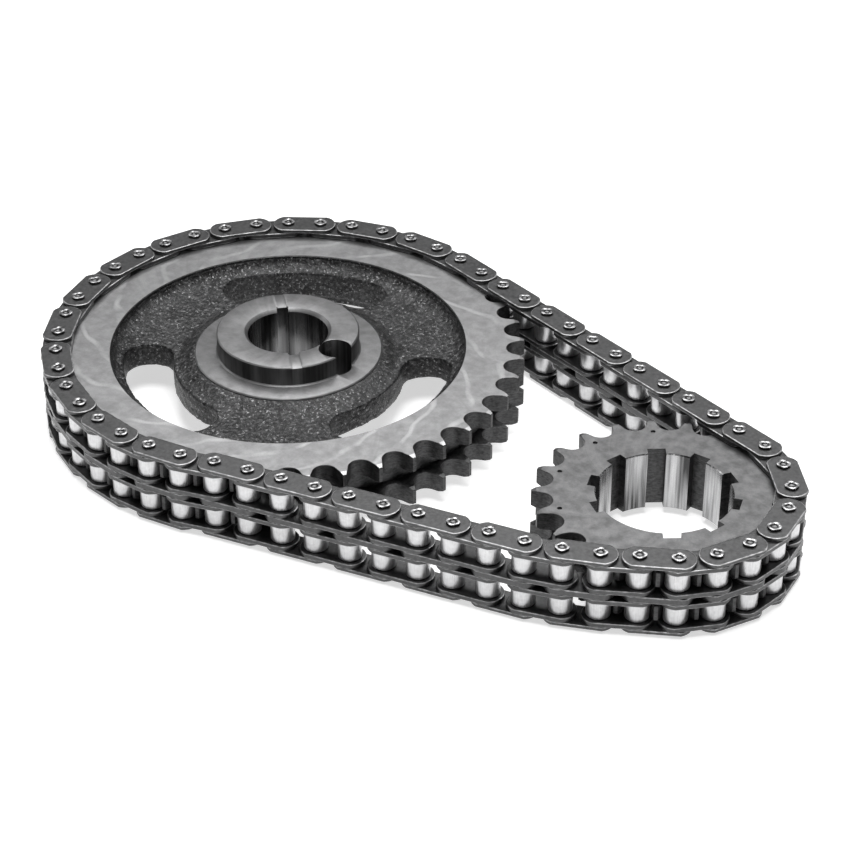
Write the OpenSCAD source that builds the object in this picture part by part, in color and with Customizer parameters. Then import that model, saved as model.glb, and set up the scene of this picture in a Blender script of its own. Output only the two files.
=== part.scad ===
// Duplex roller timing chain on its camshaft and crankshaft sprockets.
// The camshaft axis is Z, the crankshaft axis is parallel to it along +X, and Z = 0 is the
// middle plane of the chain. Lengths are in millimetres and angles in degrees.

/* [Chain] */
// Distance from one pin to the next
pitch = 9.525; // [9.5:0.005:9.55]
// Distance between the middles of the two roller rows
row_spacing = 10.24; // [10.2:0.02:10.4]
// Diameter of a roller
roller_d = 6.35; // [6.2:0.05:6.4]
// Width between the two inner plates of a row
inner_width = 5.72; // [5.6:0.02:5.8]
// Outer diameter of a bushing
bushing_d = 4.6; // [4.4:0.1:4.8]
// Diameter of a pin
pin_d = 3.28; // [3.2:0.02:3.4]
// Length of a pin, over its riveted heads
pin_length = 22.4; // [22.2:0.1:23]
// Diameter of a riveted pin head
pin_head_d = 3.8; // [3.5:0.05:4]
// Height of every plate
plate_height = 8.2; // [7.8:0.1:8.4]
// Thickness of an inner plate
inner_plate_t = 1.3; // [1.2:0.02:1.32]
// Thickness of an outer plate
outer_plate_t = 1.05; // [0.9:0.05:1.1]
// Thickness of the plate between the two rows
middle_plate_t = 1.8; // [1.6:0.05:1.84]
// Radius of an outer or middle plate's end
outer_end_r = 4.45; // [4.3:0.05:4.6]
// Radius of an inner plate's end
inner_end_r = 4.3; // [4.2:0.05:4.5]

/* [Clearances] */
// Radial gap between a pin and its bushing
pin_gap = 0.03; // [0.02:0.01:0.06]
// Radial gap between a bushing and its roller
roller_gap = 0.05; // [0.03:0.01:0.08]
// Radial gap at the open pivot of each strand
open_pivot_gap = 0.3; // [0.25:0.01:0.32]
// Gap on each side of a roller, between its plates
roller_side_gap = 0.1; // [0.08:0.01:0.15]
// Gap between an inner plate and the plate beside it
plate_gap = 0.06; // [0.05:0.01:0.08]

/* [Sprocket teeth] */
// Teeth on the camshaft sprocket
cam_teeth = 42; // [42]
// Teeth on the crankshaft sprocket
crank_teeth = 21; // [21]
// Width of one row of teeth
tooth_width = 5.2; // [5:0.05:5.3]
// Radius of a roller seat
seat_r = 3.33; // [3.3:0.01:3.4]
// Height of a camshaft tooth above the pitch circle
cam_addendum = 1.77; // [1.6:0.01:1.8]
// Height of a crankshaft tooth above the pitch circle
crank_addendum = 1.9; // [1.7:0.01:2]
// Angle of the first roller seat on the camshaft sprocket, on the taut side
cam_seat_angle = 76.9; // [76.85:0.01:76.95]
// Angle of the first roller seat on the crankshaft sprocket, on the taut side
crank_seat_angle = 67.6; // [67.55:0.01:67.65]

/* [Camshaft sprocket] */
// Diameter of the camshaft bore
cam_bore_d = 22.225; // [22:0.025:22.5]
// Diameter of the hub nose
cam_hub_d = 39.4; // [38:0.1:40]
// Height of the hub nose above the chain's middle plane
cam_hub_top = 12.3; // [11.5:0.1:13]
// Diameter of the machined flange around the hub
cam_flange_d = 52; // [50:0.5:54]
// Height of the flange above the chain's middle plane
cam_flange_top = 6.4; // [6:0.1:7]
// Depth of the hub's rear face below the middle plane
cam_hub_back = 8.7; // [8:0.1:10]
// Thickness of the cast web
web_t = 7; // [6:0.1:8]
// Inner diameter of the machined rim
rim_inner_d = 98; // [96:0.2:101]
// Inner radius of the web windows
window_inner_r = 32; // [31:0.5:33]
// Outer radius of the web windows
window_outer_r = 45.6; // [43:0.2:45.8]
// Half of the angle that a window spans
window_half_angle = 35; // [32:0.5:38]
// Direction of the first window
window_angle = 121; // [115:1:128]
// Direction of the line through the hub's keyways
key_line_angle = 136; // [120:1:140]
// Width of the keyways in the camshaft bore
cam_keyway_w = 3.2; // [3:0.1:3.6]
// Diameter of the dowel hole beside the bore
dowel_d = 9; // [8:0.1:9]
// Distance of the dowel hole from the camshaft axis
dowel_offset = 16.4; // [16.2:0.1:16.6]

/* [Crankshaft sprocket] */
// Diameter of the crankshaft bore
crank_bore_d = 34.925; // [34.5:0.025:35.5]
// Number of keyway steps round the bore; one step is left plain
key_steps = 10; // [10]
// Width of a crankshaft keyway
crank_keyway_w = 4.76; // [4.5:0.02:5]
// Radius to the floor of a crankshaft keyway
crank_keyway_r = 19.7; // [19.4:0.1:20]
// Diameter of the rear boss
crank_boss_d = 46; // [44:0.5:48]
// Depth of the rear boss below the middle plane
crank_boss_back = 9.4; // [8.5:0.1:10]
// Diameter of a punched timing dot
dot_d = 1.7; // [1:0.1:2]
// Depth of a punched timing dot
dot_depth = 0.35; // [0.2:0.05:0.6]

/* [Hidden] */
$fn = 48;
over = 1;
LINKS = 58;
TAUT_PITCHES = 13;
CRANK_WRAP = 8;
CAM_WRAP = 25;
SLACK_PITCHES = LINKS - TAUT_PITCHES - CRANK_WRAP - CAM_WRAP;
BOW_PITCHES = 3;

// Pin numbers run from the first camshaft seat along the taut side, round the crankshaft
// sprocket, back along the slack side and round the camshaft sprocket.
FIRST_SLACK_PIN = TAUT_PITCHES + CRANK_WRAP;
FIRST_CAM_PIN = FIRST_SLACK_PIN + SLACK_PITCHES;
TAUT_FREE = [for (i = [3:9]) i];
SLACK_FREE = [for (i = [30:-1:24]) i];
CRANK_STATIC = [for (i = [10:23]) i];
CAM_STATIC = concat([for (i = [31:LINKS - 1]) i], [0, 1, 2]);
OPEN_BUSHINGS = [10, 24];

cam_r = pitch / 2 / sin(180 / cam_teeth);
crank_r = pitch / 2 / sin(180 / crank_teeth);
cam_tip_r = cam_r + cam_addendum;
crank_tip_r = crank_r + crank_addendum;
row_z = row_spacing / 2;
link_half_width = inner_width / 2 + inner_plate_t;
outer_plate_z = row_z + link_half_width + plate_gap;
face_z = row_z + tooth_width / 2;
groove_z = row_z - tooth_width / 2;
plate_clear = plate_height / 2 + 0.5;
pin_r = pin_d / 2;
bushing_r = bushing_d / 2;

function polar(r, a) = [r * cos(a), r * sin(a)];

// Centre distance that makes the taut side exactly a whole number of pitches long.
seat_rise = crank_r * sin(crank_seat_angle) - cam_r * sin(cam_seat_angle);
taut_run = sqrt(pow(TAUT_PITCHES * pitch, 2) - pow(seat_rise, 2));
centres = cam_r * cos(cam_seat_angle) - crank_r * cos(crank_seat_angle) + taut_run;

function cam_pin(i) = polar(cam_r, cam_seat_angle + (LINKS - i) * 360 / cam_teeth);
function crank_pin(i) = [centres, 0]
    + polar(crank_r, crank_seat_angle - (i - TAUT_PITCHES) * 360 / crank_teeth);

// The slack side leaves the camshaft sprocket straight and bows outwards over its last pitches,
// each turned by the same bow angle, which is found by halving an interval.
slack_start = cam_pin(FIRST_CAM_PIN);
slack_end = crank_pin(FIRST_SLACK_PIN);
slack_span = norm(slack_end - slack_start);
straight_run = (SLACK_PITCHES - BOW_PITCHES) * pitch;
function bow_chord(t) = pitch * (1 + 2 * cos(t));
function bow_span(t) = sqrt(pow(straight_run, 2) + pow(bow_chord(t), 2)
    + 2 * straight_run * bow_chord(t) * cos(2 * t));
function solve_bow(low, high, steps) =
    steps == 0 ? (low + high) / 2
    : bow_span((low + high) / 2) > slack_span ? solve_bow((low + high) / 2, high, steps - 1)
    : solve_bow(low, (low + high) / 2, steps - 1);
bow_angle = solve_bow(0, 30, 40);
slack_line = atan2(slack_end[1] - slack_start[1], slack_end[0] - slack_start[0]);
slack_heading = slack_line - asin(bow_chord(bow_angle) * sin(2 * bow_angle) / slack_span);

function slack_straight_pin(i) = slack_start + polar((FIRST_CAM_PIN - i) * pitch, slack_heading);
function slack_pin(i) =
    i >= FIRST_SLACK_PIN + BOW_PITCHES ? slack_straight_pin(i)
    : i == FIRST_SLACK_PIN + 2 ? slack_pin(i + 1) + polar(pitch, slack_heading + bow_angle)
    : slack_pin(i + 1) + polar(pitch, slack_heading + 2 * bow_angle);
function taut_pin(i) = cam_pin(LINKS)
    + (crank_pin(TAUT_PITCHES) - cam_pin(LINKS)) * i / TAUT_PITCHES;

function pin_at(n) = let (i = n % LINKS)
    i < TAUT_PITCHES ? taut_pin(i)
    : i <= FIRST_SLACK_PIN ? crank_pin(i)
    : i < FIRST_CAM_PIN ? slack_pin(i)
    : cam_pin(i);
function link_angle(i) = let (d = pin_at(i + 1) - pin_at(i)) atan2(d[1], d[0]);
function is_outer(i) = i % 2 == 0;

// Names of the free links: number 1 of each side is the one beside the camshaft sprocket.
function link_names(side, links) = [
    for (n = [0:len(links) - 1], part = is_outer(links[n])
            ? ["plates", "pins"]
            : ["plates", "bushings", "cam_end_rollers", "crank_end_rollers"])
        str(side, "_link_", n + 1, "_", part)
];
function wrap_names(side) = [
    for (part = ["outer_plates", "middle_plates", "inner_plates", "pins", "bushings", "rollers"])
        str(side, "_wrap_", part)
];

// ---- Outlines ----

module plate_2d(end_r, hole_r) {
    difference() {
        intersection() {
            union() {
                circle(r = end_r);
                translate([pitch, 0]) circle(r = end_r);
                translate([0, -plate_height / 2]) square([pitch, plate_height]);
            }
            translate([-end_r, -plate_height / 2]) square([pitch + 2 * end_r, plate_height]);
        }
        circle(r = hole_r);
        translate([pitch, 0]) circle(r = hole_r);
    }
}

// Points up one flank of a tooth gap, from the roller seat to past the tip.
flank_start = 68;
flank_steps = 5;
function flank_point(flank_r, step, k) =
    k == 0 ? [-seat_r * cos(flank_start), seat_r * sin(flank_start)]
    : let (heading = 90 - flank_start + (k - 0.5) * step / flank_r * 180 / PI)
        flank_point(flank_r, step, k - 1) + step * [cos(heading), sin(heading)];

module tooth_gap_2d(teeth, addendum) {
    flank_r = 0.12 * roller_d * (teeth + 2);
    step = (addendum + seat_r * cos(flank_start) + over) / flank_steps;
    side = [for (k = [0:flank_steps]) flank_point(flank_r, step, k)];
    other = [for (k = [flank_steps:-1:0]) [side[k][0], -side[k][1]]];
    circle(r = seat_r);
    polygon(concat([[0, 0]], side, other));
}

module tooth_gaps_2d(teeth, pitch_r, addendum, seat_angle) {
    for (k = [0:teeth - 1])
        rotate(seat_angle + k * 360 / teeth)
            translate([pitch_r, 0]) tooth_gap_2d(teeth, addendum);
}

// Section of the toothed rim from its lower to its upper face, outer side only.
bevel_z = 0.45;
bevel_r = 1.3;
function row_section(tip_r, groove_r, low, high) = [
    [groove_r, low], [tip_r - bevel_r, low], [tip_r, low + bevel_z],
    [tip_r, high - bevel_z], [tip_r - bevel_r, high], [groove_r, high]
];

// Points along an arc, both ends included.
function arc(centre, r, from, to, steps) = [
    for (k = [0:steps]) centre + polar(r, from + (to - from) * k / steps)
];

// Half of a window's outline, from the middle of its inner side to the middle of its outer side.
function window_side(r0, r1, half, corner) =
    let (
        inner_end = half - asin(corner / (r0 + corner)),
        outer_end = half - asin(corner / (r1 - corner))
    ) concat(
        arc([0, 0], r0, 0, inner_end - 2, 6),
        arc(polar(r0 + corner, inner_end), corner, inner_end + 180, half + 90, 4),
        arc(polar(r1 - corner, outer_end), corner, half + 90, outer_end, 6),
        arc([0, 0], r1, outer_end - 2, 0, 6)
    );

// A ring sector with round corners.
module window_2d(r0, r1, half, corner) {
    side = window_side(r0, r1, half, corner);
    last = len(side) - 1;
    polygon(concat(side, [for (k = [last - 1:-1:1]) [side[k][0], -side[k][1]]]));
}

// ---- Pieces of the chain ----

// Places a piece of link i, with X along the link.
module on_link(i) {
    p = pin_at(i);
    translate([p[0], p[1], 0]) rotate(link_angle(i)) children();
}

module slab(z0, thickness) {
    translate([0, 0, z0]) linear_extrude(thickness) children();
}

module outer_plate_pair() {
    for (z = [outer_plate_z, -outer_plate_z - outer_plate_t])
        slab(z, outer_plate_t) plate_2d(outer_end_r, pin_r);
}

module middle_plate() {
    slab(-middle_plate_t / 2, middle_plate_t) plate_2d(outer_end_r, pin_r);
}

module inner_plate_set() {
    for (row = [-row_z, row_z], z = [inner_width / 2, -link_half_width])
        slab(row + z, inner_plate_t) plate_2d(inner_end_r, bushing_r);
}

// A pin with flared heads, riveted over the outer plates and dimpled at both ends.
module pin() {
    half = pin_length / 2;
    neck = outer_plate_z + outer_plate_t;
    flare = pin_head_d / 2;
    dimple_r = 0.75;
    dimple_depth = 0.35;
    rotate_extrude() polygon([
        [0, -half + dimple_depth], [dimple_r, -half], [flare - 0.2, -half], [flare, -half + 0.2],
        [pin_r, -neck], [pin_r, neck],
        [flare, half - 0.2], [flare - 0.2, half], [dimple_r, half], [0, half - dimple_depth]
    ]);
}

module tube(outer_r, inner_r, length) {
    translate([0, 0, -length / 2]) difference() {
        cylinder(r = outer_r, h = length);
        translate([0, 0, -over]) cylinder(r = inner_r, h = length + 2 * over);
    }
}

module bushings_at(x, gap) {
    for (row = [-row_z, row_z])
        translate([x, 0, row]) tube(bushing_r, pin_r + gap, 2 * link_half_width);
}

module rollers_at(x) {
    for (row = [-row_z, row_z])
        translate([x, 0, row])
            tube(roller_d / 2, bushing_r + roller_gap, inner_width - 2 * roller_side_gap);
}

function bushing_gap(pin_number) =
    len(search(pin_number, OPEN_BUSHINGS)) > 0 ? open_pivot_gap : pin_gap;

module link_part(i, part) {
    on_link(i) {
        if (part == "outer_plates" && is_outer(i)) outer_plate_pair();
        if (part == "middle_plates" && is_outer(i)) middle_plate();
        if (part == "pins" && is_outer(i)) for (x = [0, pitch]) translate([x, 0, 0]) pin();
        if (part == "inner_plates" && !is_outer(i)) inner_plate_set();
        if (part == "bushings" && !is_outer(i)) {
            bushings_at(0, bushing_gap(i));
            bushings_at(pitch, bushing_gap(i + 1));
        }
        if (part == "first_rollers" && !is_outer(i)) rollers_at(0);
        if (part == "second_rollers" && !is_outer(i)) rollers_at(pitch);
    }
}

// ---- Links that lie on the sprockets ----

module wrap_part(links, part) {
    for (i = links) link_part(i, part);
}

module outer_plates(links) { color("dimgray") wrap_part(links, "outer_plates"); }

module middle_plates(links) { color("dimgray") wrap_part(links, "middle_plates"); }

module inner_plates(links) { color("slategray") wrap_part(links, "inner_plates"); }

module pins(links) { color("gainsboro") wrap_part(links, "pins"); }

module bushings(links) { color("gray") wrap_part(links, "bushings"); }

module rollers(links) {
    color("silver") {
        wrap_part(links, "first_rollers");
        wrap_part(links, "second_rollers");
    }
}

module chain_wrap(side, links) {
    outer_plates(links);
    middle_plates(links);
    inner_plates(links);
    pins(links);
    bushings(links);
    rollers(links);
}

// ---- Free links between the sprockets ----

module free_outer_link(name, i) {
    union() {
        outer_plates([i]);
        middle_plates([i]);
    }
    pins([i]);
}

// The taut side's pin numbers rise away from the camshaft and the slack side's fall.
module free_inner_link(name, i, rising) {
    cam_end = rising ? "first_rollers" : "second_rollers";
    crank_end = rising ? "second_rollers" : "first_rollers";
    inner_plates([i]);
    bushings([i]);
    color("silver") link_part(i, cam_end);
    color("silver") link_part(i, crank_end);
}

module free_side(side, links, rising) {
    for (n = [0:len(links) - 1]) {
        name = str(side, "_link_", n + 1);
        if (is_outer(links[n])) free_outer_link(name, links[n]);
        else free_inner_link(name, links[n], rising);
    }
}

// ---- Camshaft sprocket ----

rim_inner_r = rim_inner_d / 2;
cam_bore_r = cam_bore_d / 2;
cam_hub_r = cam_hub_d / 2;
cam_flange_r = cam_flange_d / 2;
cam_groove_r = cam_r - plate_clear;
bore_bevel = 0.9;
edge_bevel = 0.4;
window_corner = 6;

// Cast web: a hollow fillet runs up to the rim and another down from the flange.
fillet_r = 3;
function fillet(cx, cz, from, to) = [
    for (k = [0:5]) [cx, cz] + polar(fillet_r, from + (to - from) * k / 5)
];

module cam_blank() {
    web = web_t / 2;
    top_side = concat(
        fillet(rim_inner_r - fillet_r, web + fillet_r, 0, -90),
        fillet(cam_flange_r + fillet_r, web + fillet_r, -90, -152)
    );
    back_side = [[cam_flange_r, -web], [rim_inner_r - 1, -web], [rim_inner_r, -web - 1]];
    rotate_extrude($fn = 96) polygon(concat(
        [[cam_bore_r, -cam_hub_back + edge_bevel], [cam_bore_r + edge_bevel, -cam_hub_back]],
        [[cam_flange_r - edge_bevel, -cam_hub_back], [cam_flange_r, -cam_hub_back + edge_bevel]],
        back_side,
        [[rim_inner_r, -face_z + edge_bevel], [rim_inner_r + edge_bevel, -face_z]],
        row_section(cam_tip_r, cam_groove_r, -face_z, -groove_z),
        row_section(cam_tip_r, cam_groove_r, groove_z, face_z),
        [[rim_inner_r + edge_bevel, face_z], [rim_inner_r, face_z - edge_bevel]],
        top_side,
        [[cam_flange_r, cam_flange_top - edge_bevel], [cam_flange_r - edge_bevel, cam_flange_top]],
        [[cam_hub_r, cam_flange_top], [cam_hub_r, cam_hub_top - edge_bevel]],
        [[cam_hub_r - edge_bevel, cam_hub_top], [cam_bore_r + bore_bevel, cam_hub_top]],
        [[cam_bore_r, cam_hub_top - bore_bevel]]
    ));
}

module through(depth = 40) {
    translate([0, 0, -depth / 2]) linear_extrude(depth) children();
}

module cam_keyways() {
    keyway_floor = cam_bore_r + 1.5;
    rotate(key_line_angle) {
        through() square([2 * keyway_floor, cam_keyway_w], center = true);
        translate([0, 0, cam_hub_top - 0.35]) linear_extrude(over)
            square([2 * cam_hub_r + over, cam_keyway_w - 0.6], center = true);
    }
}

module cam_sprocket() {
    color("darkgray") difference() {
        cam_blank();
        through() tooth_gaps_2d(cam_teeth, cam_r, cam_addendum, cam_seat_angle);
        for (k = [0:2])
            rotate(window_angle + 120 * k) through()
                window_2d(window_inner_r, window_outer_r, window_half_angle, window_corner);
        cam_keyways();
        translate([dowel_offset, 0, -20]) cylinder(d = dowel_d, h = 40);
    }
}

// ---- Crankshaft sprocket ----

crank_bore_r = crank_bore_d / 2;
crank_groove_r = crank_r - plate_clear;
crank_bevel = 0.3;
first_tooth = crank_seat_angle + 3.5 * 360 / crank_teeth;
dot_circle_r = 27.8;
DOT_TEETH = [0, 2, 4, 6, 15];

module crank_blank() {
    rotate_extrude($fn = 96) polygon(concat(
        [[crank_bore_r, -crank_boss_back + crank_bevel]],
        [[crank_bore_r + crank_bevel, -crank_boss_back], [crank_boss_d / 2, -crank_boss_back]],
        [[crank_boss_d / 2, -face_z]],
        row_section(crank_tip_r, crank_groove_r, -face_z, -groove_z),
        row_section(crank_tip_r, crank_groove_r, groove_z, face_z),
        [[crank_bore_r + crank_bevel, face_z], [crank_bore_r, face_z - crank_bevel]]
    ));
}

module crank_keyways() {
    for (k = [0:key_steps - 1])
        if (k != 6)
            rotate(first_tooth - k * 360 / key_steps)
                through() translate([0, -crank_keyway_w / 2]) square([crank_keyway_r, crank_keyway_w]);
}

module timing_dots() {
    for (t = DOT_TEETH)
        rotate(first_tooth + t * 360 / crank_teeth)
            translate([dot_circle_r, 0, face_z - dot_depth]) cylinder(d = dot_d, h = over);
}

module crank_sprocket() {
    color("lightgray") translate([centres, 0, 0]) difference() {
        crank_blank();
        through() tooth_gaps_2d(crank_teeth, crank_r, crank_addendum, crank_seat_angle);
        crank_keyways();
        timing_dots();
    }
}

cam_sprocket();
crank_sprocket();
chain_wrap("cam", CAM_STATIC);
chain_wrap("crank", CRANK_STATIC);
free_side("taut", TAUT_FREE, true);
free_side("slack", SLACK_FREE, false);
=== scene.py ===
"""The looks of a duplex roller timing chain on its two sprockets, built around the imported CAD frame.

Shapes are worked out in millimetres and written to meshes in metres. +Z is the camshaft axis, +X points
to the crankshaft, and Z = 0 is the middle plane of the chain. The dimensions are part.scad's.
"""

import math

import bmesh
import bpy
import numpy as np
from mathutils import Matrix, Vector, noise


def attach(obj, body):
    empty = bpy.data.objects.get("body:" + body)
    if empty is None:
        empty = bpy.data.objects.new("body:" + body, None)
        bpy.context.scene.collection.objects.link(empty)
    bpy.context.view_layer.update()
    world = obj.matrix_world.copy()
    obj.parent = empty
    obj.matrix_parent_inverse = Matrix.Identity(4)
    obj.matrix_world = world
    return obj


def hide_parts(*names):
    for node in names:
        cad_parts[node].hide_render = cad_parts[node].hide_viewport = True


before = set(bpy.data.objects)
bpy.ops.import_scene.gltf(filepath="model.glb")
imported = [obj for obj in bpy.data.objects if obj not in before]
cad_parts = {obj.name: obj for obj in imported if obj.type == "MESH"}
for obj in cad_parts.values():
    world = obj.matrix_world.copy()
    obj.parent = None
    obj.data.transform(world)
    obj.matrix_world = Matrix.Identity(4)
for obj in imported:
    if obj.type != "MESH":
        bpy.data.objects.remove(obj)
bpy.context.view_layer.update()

MM = 0.001

# Chain
PITCH = 9.525
ROW_Z = 5.12
ROLLER_R = 3.175
ROLLER_BORE_R = 2.35
ROLLER_LENGTH = 5.52
BUSHING_R = 2.3
INNER_WIDTH = 5.72
INNER_PLATE_T = 1.3
LINK_HALF_WIDTH = INNER_WIDTH / 2 + INNER_PLATE_T
OUTER_PLATE_T = 1.05
OUTER_PLATE_Z = ROW_Z + LINK_HALF_WIDTH + 0.06
MIDDLE_PLATE_T = 1.8
PLATE_HEIGHT = 8.2
OUTER_END_R = 4.45
INNER_END_R = 4.3
PIN_R = 1.64
PIN_HALF = 11.2
PIN_GAP = 0.03
OPEN_PIVOT_GAP = 0.3

# Links, numbered as the pins are: from the first camshaft seat along the taut side
LINKS = 58
TAUT_PITCHES = 13
FIRST_SLACK_PIN = 21
FIRST_CAM_PIN = 33
BOW_PITCHES = 3
TAUT_FREE = list(range(3, 10))
SLACK_FREE = list(range(30, 23, -1))
CRANK_STATIC = list(range(10, 24))
CAM_STATIC = list(range(31, LINKS)) + [0, 1, 2]
OPEN_BUSHINGS = (10, 24)

# Sprockets
CAM_TEETH = 42
CRANK_TEETH = 21
CAM_SEAT_ANGLE = 76.9
CRANK_SEAT_ANGLE = 67.6
CAM_R = PITCH / 2 / math.sin(math.pi / CAM_TEETH)
CRANK_R = PITCH / 2 / math.sin(math.pi / CRANK_TEETH)
CAM_TIP_R = CAM_R + 1.77
CRANK_TIP_R = CRANK_R + 1.9
SEAT_R = 3.33
FLANK_START = 68
FACE_Z = ROW_Z + 2.6
GROOVE_Z = ROW_Z - 2.6
PLATE_CLEAR = PLATE_HEIGHT / 2 + 0.5
RIM_INNER_R = 49
WEB_HALF = 3.5
FLANGE_R = 26
FLANGE_TOP = 6.4
HUB_R = 19.7
HUB_TOP = 12.3
HUB_BACK = -8.7
CAM_BORE_R = 11.1125
CRANK_BORE_R = 17.4625
CRANK_BOSS_R = 23
CRANK_BOSS_BACK = -9.4


def polar(radius, degrees):
    return np.array([radius * math.cos(math.radians(degrees)), radius * math.sin(math.radians(degrees))])


# ---- The chain's line, as part.scad works it out ----


def cam_pin(number):
    return polar(CAM_R, CAM_SEAT_ANGLE + (LINKS - number) * 360 / CAM_TEETH)


SEAT_RISE = (polar(CRANK_R, CRANK_SEAT_ANGLE) - polar(CAM_R, CAM_SEAT_ANGLE))[1]
CENTRES = (
    polar(CAM_R, CAM_SEAT_ANGLE)[0]
    - polar(CRANK_R, CRANK_SEAT_ANGLE)[0]
    + math.sqrt((TAUT_PITCHES * PITCH) ** 2 - SEAT_RISE**2)
)


def crank_pin(number):
    angle = CRANK_SEAT_ANGLE - (number - TAUT_PITCHES) * 360 / CRANK_TEETH
    return np.array([CENTRES, 0]) + polar(CRANK_R, angle)


def solve_slack_bow():
    """The angle between neighbouring links in the slack side's bow, and the heading of its straight part."""
    chord = crank_pin(FIRST_SLACK_PIN) - cam_pin(FIRST_CAM_PIN)
    span = np.linalg.norm(chord)
    straight = (FIRST_CAM_PIN - FIRST_SLACK_PIN - BOW_PITCHES) * PITCH
    low, high = 0.0, 30.0
    for _ in range(40):
        bow = (low + high) / 2
        curved = PITCH * (1 + 2 * math.cos(math.radians(bow)))
        reach = math.sqrt(
            straight**2 + curved**2 + 2 * straight * curved * math.cos(math.radians(2 * bow))
        )
        if reach > span:
            low = bow
        else:
            high = bow
    lean = math.degrees(math.asin(curved * math.sin(math.radians(2 * bow)) / span))
    return bow, math.degrees(math.atan2(chord[1], chord[0])) - lean


BOW, SLACK_HEADING = solve_slack_bow()


def slack_pin(number):
    if number >= FIRST_SLACK_PIN + BOW_PITCHES:
        return cam_pin(FIRST_CAM_PIN) + polar((FIRST_CAM_PIN - number) * PITCH, SLACK_HEADING)
    turn = BOW if number == FIRST_SLACK_PIN + 2 else 2 * BOW
    return slack_pin(number + 1) + polar(PITCH, SLACK_HEADING + turn)


def pin_at(number):
    number %= LINKS
    if number < TAUT_PITCHES:
        start, end = cam_pin(LINKS), crank_pin(TAUT_PITCHES)
        return start + (end - start) * number / TAUT_PITCHES
    if number <= FIRST_SLACK_PIN:
        return crank_pin(number)
    if number < FIRST_CAM_PIN:
        return slack_pin(number)
    return cam_pin(number)


def is_outer(link):
    return link % 2 == 0


# ---- Templates: points, faces, and how worn each point is ----


class Shape:
    """Points in millimetres, faces, and a wear_and_light value for each point: 1 on an edge that takes the
    worn_and_lit grey, which is wear with a painted highlight on plates and pins and painted shade on the
    roller ends.
    """

    def __init__(self, points, faces, wear_and_light=None):
        self.points = np.asarray(points, float)
        self.faces = faces
        self.wear_and_light = np.zeros(len(self.points)) if wear_and_light is None else np.asarray(wear_and_light, float)

    def moved(self, x=0.0, y=0.0, z=0.0):
        return Shape(self.points + np.array([x, y, z]), self.faces, self.wear_and_light)


def joined(shapes):
    points, faces, wear_and_light, base = [], [], [], 0
    for shape in shapes:
        points.append(shape.points)
        wear_and_light.append(shape.wear_and_light)
        faces += [tuple(base + k for k in face) for face in shape.faces]
        base += len(shape.points)
    return Shape(np.vstack(points), faces, np.concatenate(wear_and_light))


def tube_faces(loops, steps):
    """Quads of a grid that closes both round its loops and from the last loop to the first."""
    faces = []
    for a in range(loops):
        b = (a + 1) % loops
        for k in range(steps):
            n = (k + 1) % steps
            faces.append((a * steps + k, b * steps + k, b * steps + n, a * steps + n))
    return faces


def lathe(profile, steps, wear_and_light=None):
    """A ring turned round Z from a closed profile of (radius, z), listed so that its faces look outwards."""
    angles = np.arange(steps) * 2 * math.pi / steps
    points = [(r * math.cos(a), r * math.sin(a), z) for r, z in profile for a in angles]
    worn_and_lit = None if wear_and_light is None else np.repeat(wear_and_light, steps)
    return Shape(points, tube_faces(len(profile), steps), worn_and_lit)


def plate_outline(end_r):
    """Angles round a plate's left hole: the middle line, the top edge, the round end and the bottom edge."""
    mid = math.degrees(math.atan2(PLATE_HEIGHT, PITCH))
    corner = 180 - math.degrees(math.asin(PLATE_HEIGHT / 2 / end_r))
    upper = list(np.linspace(mid, corner, 5)[:-1]) + list(np.linspace(corner, 180, 8)[:-1])
    angles = upper + [180] + [360 - a for a in reversed(upper)]
    return angles + list(np.linspace(360 - mid, 360 + mid, 5)[1:-1]), mid


def half_plate(end_r, hole_r, thickness, edge):
    """The half round the left hole. Each level is (loop, inset from it, height, wear_and_light: wear with a
    painted highlight on the rolled edge).
    """
    angles, mid = plate_outline(end_r)
    points, wear_and_light = [], []
    levels = (
        ("hole", 0.0, edge, 0.0),
        ("hole", edge / 2, 0.0, 0.0),
        ("outline", edge + 0.25, 0.0, 0.0),
        ("outline", edge, 0.0, 0.7),
        ("outline", edge * 0.3, edge * 0.3, 1.0),
        ("outline", 0.0, edge, 0.6),
        ("outline", 0.0, edge + 0.2, 0.0),
        ("outline", 0.0, thickness - edge - 0.2, 0.0),
        ("outline", 0.0, thickness - edge, 0.6),
        ("outline", edge * 0.3, thickness - edge * 0.3, 1.0),
        ("outline", edge, thickness, 0.7),
        ("outline", edge + 0.25, thickness, 0.0),
        ("hole", edge / 2, thickness, 0.0),
        ("hole", 0.0, thickness - edge, 0.0),
    )
    half = PLATE_HEIGHT / 2
    for kind, inset, z, worn_and_lit in levels:
        for angle in angles:
            ray = polar(1, angle)
            on_mid = angle > 360 - mid + 0.01 or angle < mid - 0.01
            limit = PITCH / 2 / ray[0] if ray[0] > 0 else end_r
            reach = min(limit, half / max(abs(ray[1]), 1e-9))
            if kind == "hole":
                x, y = ray * (hole_r + inset)
            elif on_mid:
                x, y = ray * reach
            elif reach < limit - 1e-6 or ray[0] > 0:
                x, y = ray * reach - np.array([0, math.copysign(inset, ray[1])])
            else:
                x, y = ray * (reach - inset)
            points.append((x, y, z))
            wear_and_light.append(0.0 if on_mid else worn_and_lit)
    steps = len(angles)
    faces = []
    for a in range(len(levels)):
        b = (a + 1) % len(levels)
        for k in range(steps):
            n = (k + 1) % steps
            along_mid = angles[k] >= 360 - mid - 0.01
            if along_mid and levels[a][0] == levels[b][0] == "outline":
                continue
            faces.append((a * steps + k, a * steps + n, b * steps + n, b * steps + k))
    return Shape(points, faces, wear_and_light)


def plate(end_r, hole_r, thickness, edge):
    """A link plate with rolled edges. It spans from the hole at X = 0 to the one a pitch away."""
    left = half_plate(end_r, hole_r, thickness, edge)
    right = Shape(left.points * np.array([-1, 1, 1]) + np.array([PITCH, 0, 0]), left.faces, left.wear_and_light)
    right.faces = [tuple(reversed(face)) for face in right.faces]
    return joined([left, right])


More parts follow.
